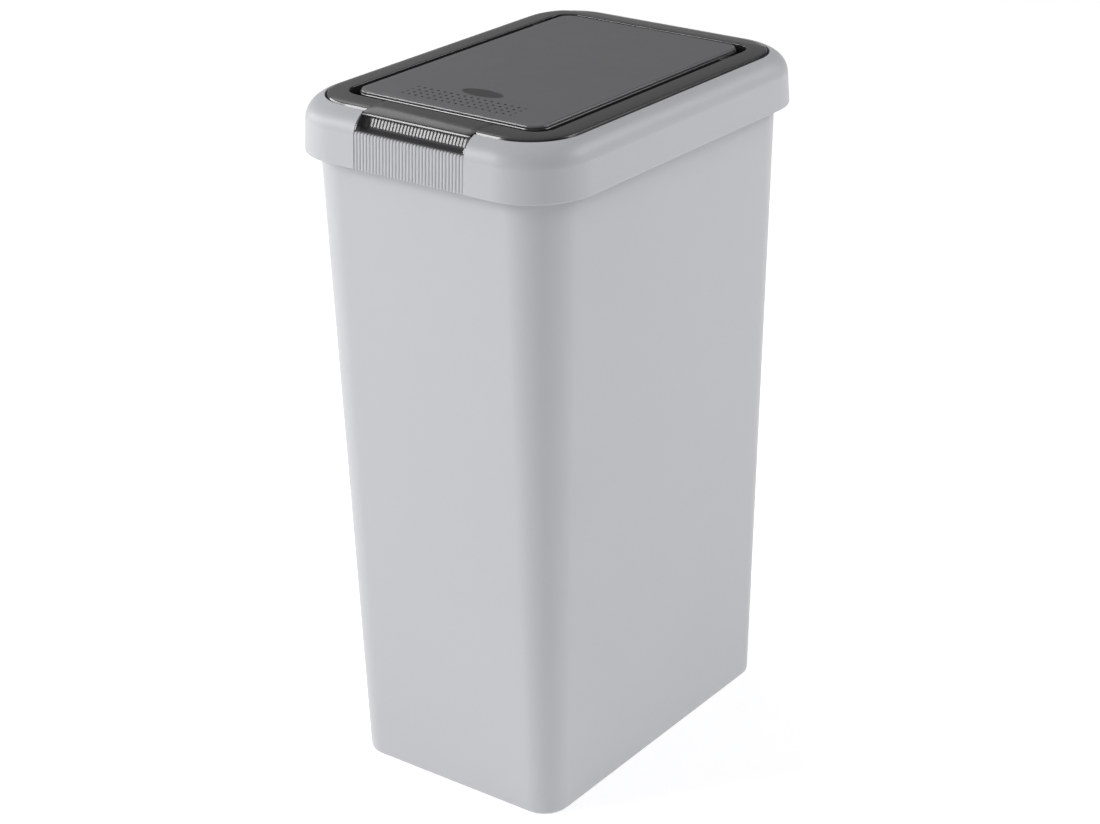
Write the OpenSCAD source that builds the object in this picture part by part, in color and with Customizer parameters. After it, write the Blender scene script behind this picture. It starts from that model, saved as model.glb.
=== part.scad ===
// Floor-standing kitchen waste bin with a push-in flap.
// A tapered bucket carries a loose collar. A dark lid frame is hinged to the
// back of the collar and lifts by a grip at the front. A sprung flap hangs in
// the frame on two side pins and swings down into the bucket when pushed.
// Origin on the floor under the middle of the bucket, front towards -Y.

/* [Bucket] */
// Width of the bucket at its rim
rim_w = 262.6; // [230:0.2:300]
// Depth of the bucket at its rim
rim_d = 373.4; // [330:0.2:420]
// Plan radius of the bucket's corners at the rim
rim_r = 43.5; // [34:0.5:50]
// How much narrower each side is at the floor
taper_w = 18.8; // [10:0.2:24]
// How much shorter the front and back are each at the floor
taper_d = 14.2; // [8:0.2:20]
// Plan radius of the bucket's corners at the floor
base_r = 26; // [16:1:34]
// Height of the rim above the floor
rim_z = 616; // [560:1:660]
// Wall of the bucket
bucket_wall = 2.2; // [1.6:0.1:3]
// Floor of the bucket
bucket_floor = 2.6; // [2:0.1:4]
// Height of the ring that the bucket stands on
foot_h = 2; // [1:0.5:4]
// Width of the ring that the bucket stands on
foot_w = 11; // [6:1:18]
// Radius round the bucket's bottom edge
base_edge = 3; // [1.5:0.5:5]
// How far the rim's flange stands out
flange_w = 3; // [1.5:0.5:4]
// Thickness of the rim's flange
flange_h = 3; // [2:0.5:5]

/* [Collar] */
// How far the frame's seat lies inside the rim at the sides
seat_in_w = 2.8; // [2:0.1:4]
// How far the frame's seat lies inside the rim at the front and back
seat_in_d = 3.9; // [3:0.1:4.5]
// Plan radius of the seat's corners
seat_r = 48; // [44:0.5:52]
// Width of the round shoulder at the sides
shoulder_w = 14.5; // [12:0.1:18]
// Width of the round shoulder at the front and back
shoulder_d = 15.7; // [13:0.1:19]
// How much the corners' plan radius grows over the shoulder
shoulder_turn = 9.5; // [7:0.5:12]
// Height of the collar's lower edge below the bucket's rim
skirt_drop = 25; // [18:1:34]
// Height of the straight skirt
skirt_h = 29; // [24:1:31]
// How far the skirt leans in at its top
skirt_lean = 2; // [0.5:0.5:3]
// Height of the rounded shoulder above the skirt
shoulder_h = 17.7; // [15:0.1:20]
// Bulge of the shoulder's arc over its chord
shoulder_bulge = 3.3; // [1.5:0.1:4]
// Wall of the collar
collar_wall = 2.2; // [1.6:0.1:2.8]
// Depth of the ledge below the collar's top edge
ledge_drop = 9.2; // [9:0.1:10]
// How far the ledge reaches in past the seat's wall
ledge_w = 8; // [5:0.5:10]
// How far the inner wall reaches down below the ledge
inner_wall_h = 23; // [12:1:30]
// Thickness of the gussets that stand on the rim
gusset_t = 2; // [1.5:0.1:3]

/* [Finger grip] */
// Width of the ribbed panel below the grip
panel_w = 115; // [90:1:125]
// Number of ribs on the panel
rib_count = 33; // [21:1:39]
// Depth of the panel's grooves
rib_depth = 1.3; // [0.8:0.1:1.5]
// Width of the tongue that lifts the lid
tongue_w = 114.6; // [90:0.2:124]
// How far the tongue reaches out over the frame's edge
tongue_out = 6.6; // [4:0.1:8]
// Thickness of the tongue's lip
tongue_t = 3; // [2:0.1:3.2]
// Wall of the finger pocket under the tongue
pocket_wall = 2; // [1.4:0.1:2.2]
// Height of the pocket's floor above the skirt's top
pocket_rise = 3.3; // [2:0.1:5]
// Radius between the pocket's floor and its back
pocket_r = 7; // [4:0.5:8]

/* [Lid frame] */
// Width of the frame's band at the sides
band_w = 20.5; // [16:0.1:24]
// Width of the frame's band at the front and back
band_d = 23.8; // [19:0.1:28]
// Wall of the frame
frame_wall = 2.2; // [1.6:0.1:2.4]
// Plan radius of the opening's corners
opening_r = 18; // [14:0.5:22]
// Height of the opening's edge above the frame's outer edge
crown_h = 1.9; // [1:0.1:2.5]
// Width of the bead round the frame's outer edge
bead_w = 2.2; // [1.5:0.1:3]
// Height of the bead
bead_h = 0.5; // [0.3:0.1:0.9]
// Depth of the wall round the opening
opening_wall_h = 13; // [11:0.5:16]
// Gap between the frame and the collar
frame_gap = 1.5; // [1:0.1:2]

/* [Flap] */
// Gap between the opening and the flap at the sides
flap_gap_w = 8.75; // [7:0.05:10]
// Gap between the opening and the flap at the front and back
flap_gap_d = 7.75; // [6:0.05:10]
// Plan radius of the cover's corners
flap_r = 13.5; // [9:0.5:18]
// Thickness of the cover
cover_t = 2.4; // [1.8:0.1:3]
// Height of the cover's top above the opening's edge
flap_proud = 1.6; // [0.5:0.1:2.5]
// How far the tray's edge shows past the cover
tray_step = 1.1; // [0.6:0.1:2]
// Height of the tray
tray_h = 10.6; // [9.5:0.1:12]
// Wall of the tray
tray_wall = 2.2; // [1.6:0.1:2.6]
// Depth of the rim that centres the cover in the tray
cover_rim_h = 3.5; // [2:0.5:5]
// Distance of the flap's axis from the flap's back edge
axis_back = 23.5; // [18:0.5:30]
// Depth of the flap's axis below the cover's top
axis_drop = 9.2; // [8:0.1:10]
// Columns of dimples where the flap is pushed
dimple_cols = 17; // [9:2:19]
// Rows of dimples
dimple_rows = 4; // [2:1:6]
// Spacing of the dimples across
dimple_dx = 7.15; // [6:0.05:8]
// Spacing of the dimples front to back
dimple_dy = 7; // [6:0.1:8]
// Diameter of a dimple
dimple_dia = 2.7; // [2:0.1:3.4]
// Depth of a dimple
dimple_deep = 0.5; // [0.2:0.1:0.8]
// Distance of the front row from the flap's front edge
dimple_edge = 15; // [10:0.5:22]
// Width of the oval thumb rest
oval_w = 43; // [30:1:50]
// Depth of the oval thumb rest, front to back
oval_d = 19; // [12:1:22]
// Distance of the oval's middle behind the back row
oval_back = 15.5; // [14:0.5:22]

/* [Pins and springs] */
// Diameter of the flap's pins
flap_pin_dia = 4; // [3:0.1:4.6]
// Diameter of the lid's hinge pins
lid_pin_dia = 2.6; // [2.2:0.1:2.8]
// Length of the lid's hinge pins
lid_pin_len = 24; // [18:1:30]
// Distance of each lid hinge from the middle
lid_hinge_x = 56; // [40:1:62]
// Width of the collar's hinge lugs
lug_w = 8; // [5:0.5:9]
// Running clearance round a pin
pin_fit = 0.08; // [0.05:0.01:0.12]
// Wire of the flap's springs
wire_dia = 1; // [0.8:0.1:1.1]
// Turns of each spring
spring_turns = 4; // [3:1:5]

/* [Fits] */
// Gap between pieces that rest on each other
seat_gap = 0.3; // [0.2:0.05:0.4]
// Side clearance of pieces that drop into each other
side_gap = 0.5; // [0.4:0.1:0.8]

/* [Hidden] */

light_grey = "#c6c7c9";
dark_grey = "#47474a";
flap_grey = "#58585b";
steel = "#b9bcc0";

corner_steps = 10;
round_fn = 48;
land = 0.6;

// Heights, from the floor up
collar_z = rim_z - skirt_drop;
crease_z = collar_z + skirt_h;
collar_top = crease_z + shoulder_h;
ledge_z = collar_top - ledge_drop;
opening_z = collar_top + crown_h;
flap_top = opening_z + flap_proud;
tray_top = flap_top - cover_t;
tray_z = tray_top - tray_h;

// Plan sizes, from the bucket's rim inwards to the flap and outwards to the skirt
base_w = rim_w - 2 * taper_w;
base_d = rim_d - 2 * taper_d;
seat_w = rim_w - 2 * seat_in_w;
seat_d = rim_d - 2 * seat_in_d;
frame_w = seat_w - 2 * frame_gap;
frame_d = seat_d - 2 * frame_gap;
frame_r = seat_r - frame_gap;
opening_w = frame_w - 2 * band_w;
opening_d = frame_d - 2 * band_d;
flap_w = opening_w - 2 * flap_gap_w;
flap_d = opening_d - 2 * flap_gap_d;
crease_w = seat_w + 2 * shoulder_w;
crease_d = seat_d + 2 * shoulder_d;
crease_r = seat_r + shoulder_turn;
collar_w = crease_w + 2 * skirt_lean;
collar_d = crease_d + 2 * skirt_lean;
collar_r = crease_r + skirt_lean;
shoulder_in = shoulder_w - land;
shoulder_in_y = shoulder_d - land;
wall_w = seat_w + 2 * collar_wall;
wall_d = seat_d + 2 * collar_wall;
wall_r = seat_r + collar_wall;
inner_w = seat_w - 2 * ledge_w;
inner_d = seat_d - 2 * ledge_w;
inner_r = seat_r - ledge_w;

// The lid's hinge line, inside the round back edge of the frame
lid_barrel_r = 3.3;
lid_axis_y = frame_d / 2 - lid_barrel_r - 0.2;
lid_axis_z = collar_top - 0.4 - lid_barrel_r;
lug_r = lid_barrel_r - 0.8;
corner_sweep_r = 5.4;
rest_w = 120;

// The flap's hinge line
flap_axis_y = flap_d / 2 - axis_back;
flap_axis_z = flap_top - axis_drop;
tray_w = flap_w + 2 * tray_step;
tray_d = flap_d + 2 * tray_step;
tray_r = flap_r + tray_step;
ear_gap = 0.8;
ear_x = opening_w / 2 - ear_gap;
ear_len = 22;
ear_h = 8.4;
boss_r = flap_pin_dia / 2 + 2.4;
spring_r = flap_pin_dia / 2 + 0.4 + wire_dia / 2;
spring_pitch = wire_dia * 1.35;
spring_x = opening_w / 2 + frame_wall + 2.6;
spring_len = spring_turns * spring_pitch;
pin_in = tray_w / 2 - 14;
pin_out = spring_x + spring_len + 2.4;

// The grip at the front
rib_pitch = panel_w / rib_count;
rib_r = rib_pitch * 0.46;
lean_angle = atan(skirt_lean / skirt_h);
panel_top = crease_z + pocket_rise;
lip_y = frame_d / 2 + tongue_out;
pocket_w = tongue_w + 0.4;
notch_w = pocket_w + 2 * side_gap;
pocket_front = crease_d / 2 - 0.8;
pocket_back = frame_d / 2 - 1.2;

// Points of one round corner, and of a whole outline with four of them
function corner(x, y, r, start) =
  [for (i = [0:corner_steps]) let (a = start + 90 * i / corner_steps) [x + r * cos(a), y + r * sin(a)]];
function outline(w, d, r) = concat(
  corner(w / 2 - r, d / 2 - r, r, 0), corner(r - w / 2, d / 2 - r, r, 90),
  corner(r - w / 2, r - d / 2, r, 180), corner(w / 2 - r, r - d / 2, r, 270));

// Block with round corners, from z up by h
module block(w, d, r, z, h) {
  translate([0, 0, z])
    linear_extrude(h)
      polygon(outline(w, d, r));
}

// Upright ring inside a plan outline, from z up by h
module band(w, d, r, wall, z, h) {
  translate([0, 0, z])
    linear_extrude(h)
      difference() {
        polygon(outline(w, d, r));
        polygon(outline(w - 2 * wall, d - 2 * wall, r - wall));
      }
}

// Closed solid through a stack of outlines, each [width, depth, radius, height]
module loft(levels) {
  n = 4 * (corner_steps + 1);
  top = (len(levels) - 1) * n;
  points = [for (l = levels, p = outline(l[0], l[1], l[2])) [p[0], p[1], l[3]]];
  sides = [for (j = [0:len(levels) - 2], k = [0:n - 1], half = [0, 1])
    let (a = j * n + k, b = j * n + (k + 1) % n)
      half == 0 ? [a, a + n, b + n] : [a, b + n, b]];
  polyhedron(points, concat(
    [[for (k = [0:n - 1]) k]], sides, [[for (k = [n - 1:-1:0]) top + k]]));
}

// Cylinder along X, between two places on that axis
module rod_x(x0, x1, y, z, r) {
  translate([x0, y, z])
    rotate([0, 90, 0])
      cylinder(h = x1 - x0, r = r, $fn = round_fn);
}

// Side profile in Y and Z, drawn out along X by w about the middle
module side_block(w, points) {
  rotate([90, 0, 90])
    translate([0, 0, -w / 2])
      linear_extrude(w)
        polygon(points);
}

// Bucket: one tapered moulding with a flanged rim and a foot ring
function bucket_size(shrink, z) =
  let (t = z / rim_z)
    [base_w + (rim_w - base_w) * t - 2 * shrink, base_d + (rim_d - base_d) * t - 2 * shrink,
     base_r + (rim_r - base_r) * t - shrink, z];
module bucket() {
  color(light_grey)
    difference() {
      union() {
        loft([bucket_size(base_edge * 0.7, 0), bucket_size(base_edge * 0.2, base_edge * 0.35),
              bucket_size(0, base_edge), bucket_size(0, rim_z)]);
        block(rim_w + 2 * flange_w, rim_d + 2 * flange_w, rim_r + flange_w,
              rim_z - flange_h, flange_h);
      }
      loft([bucket_size(bucket_wall + base_edge, foot_h + bucket_floor),
            bucket_size(bucket_wall, foot_h + bucket_floor + base_edge),
            bucket_size(bucket_wall, rim_z + 1)]);
      block(base_w - 2 * foot_w, base_d - 2 * foot_w, base_r - foot_w / 2, -1, foot_h + 1);
    }
}

// Collar: straight leaning skirt, round shoulder, seat for the frame
shoulder_steps = 6;
shoulder_chord = norm([shoulder_in, shoulder_h]);
// Share of the way in along the shoulder's arc, and height up it, at step i
function shoulder_at(i) =
  let (t = i / shoulder_steps, bow = 4 * shoulder_bulge * t * (1 - t) / shoulder_chord)
    [t - bow * shoulder_h / shoulder_in, t + bow * shoulder_in / shoulder_h];
module collar_shape(wall) {
  loft(concat(
    [[collar_w - 2 * wall, collar_d - 2 * wall, collar_r - wall, collar_z - wall]],
    [for (i = [0:shoulder_steps]) let (s = shoulder_at(i))
      [crease_w - 2 * wall - 2 * shoulder_in * s[0], crease_d - 2 * wall - 2 * shoulder_in_y * s[0],
       crease_r - wall - (crease_r - seat_r - land) * s[0],
       crease_z + shoulder_h * s[1] - wall * 0.8]]));
}
// Outline of the front notch that takes the finger pocket
notch_profile = [
  [-collar_d / 2 - 5, panel_top],
  [-pocket_front + collar_wall + 0.5, panel_top],
  [-pocket_front + collar_wall + 0.5, panel_top - pocket_wall - 2.4],
  [-seat_d / 2 + ledge_w + 6, panel_top - pocket_wall - 2.4],
  [-seat_d / 2 + ledge_w + 6, collar_top + 5],
  [-collar_d / 2 - 5, collar_top + 5]];
module rib_block() {
  translate([0, -collar_d / 2, collar_z])
    rotate([-lean_angle, 0, 0])
      linear_extrude(skirt_h + pocket_rise + 1) {
        translate([-panel_w / 2 - 0.6, rib_depth])
          square([panel_w + 1.2, collar_wall]);
        for (i = [0:rib_count - 1])
          translate([(i - (rib_count - 1) / 2) * rib_pitch, rib_r])
            circle(r = rib_r, $fn = 24);
      }
}
module lid_lug(side) {
  x0 = side * lid_hinge_x - lug_w / 2;
  difference() {
    union() {
      rod_x(x0, x0 + lug_w, lid_axis_y, lid_axis_z, lug_r);
      translate([x0, lid_axis_y - lug_r, ledge_z - 1])
        cube([lug_w, 2 * lug_r, lid_axis_z - ledge_z + 1]);
    }
    rod_x(x0 - 1, x0 + lug_w + 1, lid_axis_y, lid_axis_z, lid_pin_dia / 2 + pin_fit);
  }
}
module gusset(x, y, angle) {
  translate([x, y, rim_z + seat_gap])
    rotate([0, 0, angle])
      translate([-1, -gusset_t / 2, 0])
        cube([7.5, gusset_t, collar_top - rim_z - 8]);
}
module collar() {
  color(light_grey) {
    difference() {
      union() {
        difference() {
          collar_shape(0);
          collar_shape(collar_wall);
          block(seat_w, seat_d, seat_r, collar_z - 5, 80);
          translate([-panel_w / 2, -collar_d / 2 - 5, collar_z - 5])
            cube([panel_w, 5 + skirt_lean + collar_wall + 1.6, skirt_h + pocket_rise + 5]);
        }
        intersection() {
          collar_shape(0);
          rib_block();
        }
        band(wall_w, wall_d, wall_r, collar_wall, rim_z + seat_gap,
             collar_top - rim_z - seat_gap - 1.6);
        band(seat_w + 1, seat_d + 1, seat_r + 0.5, ledge_w + 0.5, ledge_z - collar_wall,
             collar_wall);
        band(inner_w + 2 * collar_wall - 0.4, inner_d + 2 * collar_wall - 0.4,
             inner_r + collar_wall - 0.2, collar_wall - 0.4, ledge_z - inner_wall_h,
             inner_wall_h - 0.5);
        for (sx = [-1, 1], k = [-2:2])
          gusset(sx * wall_w / 2, k * 58, sx > 0 ? 0 : 180);
        for (k = [-1:1])
          gusset(k * 62, wall_d / 2, 90);
        for (k = [-1, 1])
          gusset(k * 74, -wall_d / 2, -90);
      }
      side_block(notch_w, notch_profile);
      for (side = [-1, 1])
        rod_x(side * (seat_w / 2 - 32) - 10, side * (seat_w / 2 - 32) + 10,
              lid_axis_y, lid_axis_z, corner_sweep_r);
    }
    for (side = [-1, 1])
      lid_lug(side);
  }
}

// Lid frame: crowned ring with a bead, an opening and the front tongue
// Outline at a share of the way across the band, from its outer edge to the opening
function frame_level(share, z) =
  [frame_w - 2 * share * band_w, frame_d - 2 * share * band_d,
   frame_r - share * (frame_r - opening_r), z];
module frame_skin() {
  loft([frame_level(0, ledge_z + seat_gap), frame_level(0, collar_top - 1),
        frame_level(0.4 / band_w, collar_top - 0.2), frame_level(1.1 / band_w, collar_top + 0.2),
        frame_level((bead_w - 0.4) / band_w, collar_top),
        frame_level(bead_w / band_w, collar_top + 0.2 - bead_h),
        frame_level(0.39, collar_top + crown_h * 0.42),
        frame_level(0.73, collar_top + crown_h * 0.86),
        frame_level(0.93, opening_z),
        [opening_w - 2, opening_d - 2, opening_r - 1, opening_z - 0.1]]);
}
module frame_hollow() {
  loft([frame_level(frame_wall / band_w, ledge_z - 1),
        frame_level(frame_wall / band_w, collar_top - 0.4 - frame_wall),
        frame_level(0.39, collar_top + crown_h * 0.4 - frame_wall),
        frame_level(0.73, collar_top + crown_h * 0.84 - frame_wall),
        [opening_w - 2, opening_d - 2, opening_r - 1, opening_z - 0.2 - frame_wall]]);
}
tongue_profile = [
  [-opening_d / 2 + 2, opening_z + 0.2],
  [-opening_d / 2 - 8, opening_z + 0.1],
  [-frame_d / 2 + 9, collar_top + 1.7],
  [-frame_d / 2 + 4, collar_top + 1.25],
  [-frame_d / 2, collar_top + 0.7],
  [-lip_y + 3.4, collar_top],
  [-lip_y + 0.8, collar_top - 0.8],
  [-lip_y, collar_top - 1.6],
  [-lip_y, collar_top - 1 - tongue_t + 0.4],
  [-lip_y + 0.8, collar_top - 1 - tongue_t],
  [-frame_d / 2 + 6, collar_top - 1 - tongue_t],
  [-opening_d / 2 + 2, opening_z - tongue_t - 0.6]];
grip_cut = [
  [-lip_y - 3, ledge_z - 6],
  [-frame_d / 2 + 8, ledge_z - 6],
  [-frame_d / 2 + 8, collar_top - tongue_t + 0.4],
  [-lip_y - 3, collar_top - tongue_t + 0.4]];
module lid_frame() {
  color(dark_grey)
    difference() {
      union() {
        difference() {
          union() {
            difference() {
              frame_skin();
              frame_hollow();
              side_block(tongue_w + 0.4, grip_cut);
            }
            block(opening_w + 2 * frame_wall, opening_d + 2 * frame_wall, opening_r + frame_wall,
                  opening_z - opening_wall_h, opening_wall_h - 0.5);
            side_block(tongue_w, tongue_profile);
          }
          block(opening_w, opening_d, opening_r, opening_z - 40, 80);
          translate([-frame_w / 2, lid_axis_y - 5, ledge_z - 5])
            cube([frame_w, 20, 5 + lid_axis_z - ledge_z - 2.6]);
        }
        rod_x(frame_r + 2 - frame_w / 2, frame_w / 2 - frame_r - 2, lid_axis_y, lid_axis_z, lid_barrel_r);
        for (side = [-1, 1])
          flap_bearing(side);
        translate([-rest_w / 2, opening_d / 2 - 14, tray_z - seat_gap - 2])
          cube([rest_w, 15, 2]);
      }
      for (side = [-1, 1]) {
        lug_pocket(side);
        rod_x(side * lid_hinge_x - lid_pin_len / 2 - 0.5, side * lid_hinge_x + lid_pin_len / 2 + 0.5,
              lid_axis_y, lid_axis_z, lid_pin_dia / 2 + pin_fit / 2);
        rod_x(side * opening_w / 2 - 8, side * opening_w / 2 + 8, flap_axis_y, flap_axis_z,
              flap_pin_dia / 2 + pin_fit);
      }
    }
}
module flap_bearing(side) {
  x0 = side > 0 ? opening_w / 2 : -opening_w / 2 - frame_wall - 1.8;
  rod_x(x0, x0 + frame_wall + 1.8, flap_axis_y, flap_axis_z, boss_r);
}
module lug_pocket(side) {
  w = lug_w + 2 * side_gap;
  r = lug_r + 0.35;
  translate([side * lid_hinge_x, lid_axis_y, lid_axis_z]) {
    rod_x(-w / 2, w / 2, 0, 0, r);
    translate([-w / 2, -r, -10])
      cube([w, 2 * r + 4, 10]);
    translate([-w / 2, 0, -1])
      cube([w, 10, 1 + lug_r + 0.4]);
  }
}

// Finger pocket: ribbed back, floor and two cheeks under the tongue
back_lean = 28;
floor_z = panel_top + seat_gap + 0.4;
arc_y = -pocket_back - 3.6 - pocket_r;
arc_z = floor_z - 0.2 + pocket_r;
// Point on the round between floor and back, at angle a and radius r
function pocket_arc(a, r) = [arc_y + r * sin(a), arc_z - r * cos(a)];
arc_steps = 6;
arc_end = 90 - back_lean;
pocket_top = collar_top - 1 - tongue_t - seat_gap;
back_len = (pocket_top - pocket_arc(arc_end, pocket_r)[1]) / cos(back_lean);
pocket_face = concat(
  [[-pocket_front, floor_z + 0.1]],
  [for (i = [0:arc_steps]) pocket_arc(arc_end * i / arc_steps, pocket_r)],
  [pocket_arc(arc_end, pocket_r) + back_len * [sin(back_lean), cos(back_lean)]]);
pocket_under = concat(
  [pocket_arc(arc_end, pocket_r + pocket_wall) + back_len * [sin(back_lean), cos(back_lean)]],
  [for (i = [arc_steps:-1:0]) pocket_arc(arc_end * i / arc_steps, pocket_r + pocket_wall)],
  [[-pocket_front + collar_wall + 1.2, arc_z - pocket_r - pocket_wall],
   [-pocket_front + collar_wall + 1.2, floor_z - 0.4],
   [-pocket_front, floor_z - 0.4]]);
// A cheek is a whole plate: the wall's outer side, then the line of the shoulder
cheek_profile = concat(pocket_under, [
  [-crease_d / 2 + 2.6, crease_z + 6.4],
  [-crease_d / 2 + 5.6, crease_z + 10.6],
  [-lip_y - 0.6, pocket_top - 0.6],
  [-lip_y + 1, pocket_top]]);
module grip_pocket() {
  color(dark_grey)
    union() {
      side_block(pocket_w - pocket_wall, concat(pocket_face, pocket_under));
      for (side = [-1, 1])
        translate([side * (pocket_w - pocket_wall) / 2, 0, 0])
          side_block(pocket_wall, cheek_profile);
      pocket_ribs();
    }
}
module pocket_ribs() {
  p = pocket_arc(arc_end, pocket_r);
  for (i = [2:rib_count - 3])
    translate([(i - (rib_count - 1) / 2) * rib_pitch, p[0] + 0.7, p[1] - 1])
      rotate([-back_lean, 0, 0])
        cylinder(h = back_len - 0.6, r = rib_r * 0.75, $fn = 24);
}

// Flap cover: flat plate with a centring rim, dimples and a thumb oval
module flap_cover() {
  front_y = -flap_d / 2 + dimple_edge;
  color(flap_grey)
    difference() {
      union() {
        loft([[flap_w, flap_d, flap_r, tray_top], [flap_w, flap_d, flap_r, flap_top - 0.9],
              [flap_w - 0.5, flap_d - 0.5, flap_r - 0.25, flap_top - 0.3],
              [flap_w - 1.8, flap_d - 1.8, flap_r - 0.9, flap_top]]);
        band(tray_w - 2 * tray_wall - 2 * side_gap, tray_d - 2 * tray_wall - 2 * side_gap,
             tray_r - tray_wall - side_gap, 1.8, tray_top - cover_rim_h, cover_rim_h + 0.5);
      }
      for (i = [0:dimple_cols - 1], j = [0:dimple_rows - 1])
        translate([(i - (dimple_cols - 1) / 2) * dimple_dx, front_y + j * dimple_dy,
                   flap_top - dimple_deep])
          cylinder(h = 2, d = dimple_dia, $fn = 16);
      translate([0, front_y + (dimple_rows - 1) * dimple_dy + oval_back, flap_top - 0.3])
        linear_extrude(2)
          oval();
    }
}
// Oval as the points of an ellipse
module oval() {
  polygon([for (a = [0:10:350]) [oval_w / 2 * cos(a), oval_d / 2 * sin(a)]]);
}

// Flap tray: shallow pan with side ears and blocks for the pins
module flap_tray() {
  color(dark_grey)
    difference() {
      union() {
        difference() {
          block(tray_w, tray_d, tray_r, tray_z, tray_h);
          block(tray_w - 2 * tray_wall, tray_d - 2 * tray_wall, tray_r - tray_wall,
                tray_z + tray_wall, tray_h);
        }
        for (side = [-1, 1])
          tray_ear(side);
        for (y = [-2:1])
          translate([-tray_w / 2 + 1, y * 58 - 0.75, tray_z + 1])
            cube([tray_w - 2, 1.5, tray_h - cover_rim_h - 1.5]);
      }
      for (side = [-1, 1])
        rod_x(side * (pin_in + ear_x + 2) / 2 - (ear_x + 2 - pin_in) / 2,
              side * (pin_in + ear_x + 2) / 2 + (ear_x + 2 - pin_in) / 2,
              flap_axis_y, flap_axis_z, flap_pin_dia / 2 + pin_fit / 2);
    }
}
module tray_ear(side) {
  translate([0, flap_axis_y, tray_z])
    linear_extrude(ear_h)
      polygon([[side * (tray_w / 2 - 1), -ear_len / 2 - 7], [side * ear_x, -ear_len / 2],
               [side * ear_x, ear_len / 2 - 4], [side * (tray_w / 2 - 1), ear_len / 2 + 3]]);
  translate([side > 0 ? pin_in + 0.5 : -tray_w / 2 + 1, flap_axis_y - boss_r, tray_z + 1])
    cube([tray_w / 2 - 1.5 - pin_in, 2 * boss_r, tray_h - cover_rim_h - 1.5]);
}

// Flap pin: steel axle with a head that the spring hooks on
module flap_pin(side) {
  color(steel)
    union() {
      rod_x(side > 0 ? pin_in + 1 : -pin_out, side > 0 ? pin_out : -pin_in - 1,
            flap_axis_y, flap_axis_z, flap_pin_dia / 2);
      rod_x(side > 0 ? pin_out - 1.2 : -pin_out, side > 0 ? pin_out : -pin_out + 1.2,
            flap_axis_y, flap_axis_z, spring_r + wire_dia / 2);
    }
}

// Flap spring: round wire wound on the pin, with one straight leg
coil_sides = 6;
coil_steps = 12;
// One ring of the wire's skin
function coil_ring(t) = [for (k = [0:coil_sides - 1])
  let (a = 360 * k / coil_sides, r = spring_r + wire_dia / 2 * cos(a))
    [t * spring_pitch + wire_dia / 2 * sin(a), r * cos(360 * t), r * sin(360 * t)]];
module flap_spring(side) {
  n = spring_turns * coil_steps;
  points = [for (i = [0:n]) each coil_ring(i / coil_steps)];
  last = len(points) - 1;
  faces = concat(
    [[for (k = [0:coil_sides - 1]) k]],
    [for (i = [0:n - 1], k = [0:coil_sides - 1])
      let (a = i * coil_sides + k, b = i * coil_sides + (k + 1) % coil_sides)
        [a, a + coil_sides, b + coil_sides, b]],
    [[for (k = [0:coil_sides - 1]) last - k]]);
  color(steel)
    translate([0, flap_axis_y, flap_axis_z])
      mirror([side > 0 ? 0 : 1, 0, 0])
        translate([spring_x, 0, 0])
          polyhedron(points, faces);
}

// Lid hinge pin: plain steel rod through the frame's barrel and a lug
module lid_hinge_pin(side) {
  color(steel)
    rod_x(side * lid_hinge_x - lid_pin_len / 2, side * lid_hinge_x + lid_pin_len / 2,
          lid_axis_y, lid_axis_z, lid_pin_dia / 2);
}

bucket();
collar();
lid_frame();
grip_pocket();
flap_cover();
flap_tray();
flap_pin(-1);  // flap_pin_left
flap_pin(1);  // flap_pin_right
flap_spring(-1);  // flap_spring_left
flap_spring(1);  // flap_spring_right
lid_hinge_pin(-1);  // lid_hinge_pin_left
lid_hinge_pin(1);  // lid_hinge_pin_right
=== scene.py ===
"""Floor-standing kitchen waste bin with a push-in flap, dressed for its portrait.

All sizes below are in millimetres and turn into metres when a piece is made.
The bin stands on z = 0 with its grip towards -y.
"""

import bmesh
import bpy
import numpy as np
from mathutils import Matrix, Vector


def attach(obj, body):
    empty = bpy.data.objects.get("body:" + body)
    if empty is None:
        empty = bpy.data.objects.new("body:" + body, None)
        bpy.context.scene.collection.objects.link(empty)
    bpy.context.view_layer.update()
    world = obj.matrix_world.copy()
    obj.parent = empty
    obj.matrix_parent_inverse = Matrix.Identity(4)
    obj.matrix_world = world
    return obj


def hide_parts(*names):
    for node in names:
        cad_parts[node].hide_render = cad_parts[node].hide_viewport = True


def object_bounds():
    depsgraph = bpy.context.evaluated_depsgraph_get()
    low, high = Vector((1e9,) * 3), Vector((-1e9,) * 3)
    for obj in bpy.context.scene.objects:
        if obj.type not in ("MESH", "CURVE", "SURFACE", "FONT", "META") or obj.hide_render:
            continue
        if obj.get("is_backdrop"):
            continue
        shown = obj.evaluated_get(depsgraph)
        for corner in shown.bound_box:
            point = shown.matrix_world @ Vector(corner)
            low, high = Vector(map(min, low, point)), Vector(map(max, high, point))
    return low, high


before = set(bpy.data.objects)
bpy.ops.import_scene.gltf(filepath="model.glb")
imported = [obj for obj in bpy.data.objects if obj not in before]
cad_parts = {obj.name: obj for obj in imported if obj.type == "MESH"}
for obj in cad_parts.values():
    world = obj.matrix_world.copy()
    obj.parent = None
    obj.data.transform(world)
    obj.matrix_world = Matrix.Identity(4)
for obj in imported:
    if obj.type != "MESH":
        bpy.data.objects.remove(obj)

cad_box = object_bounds()


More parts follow.
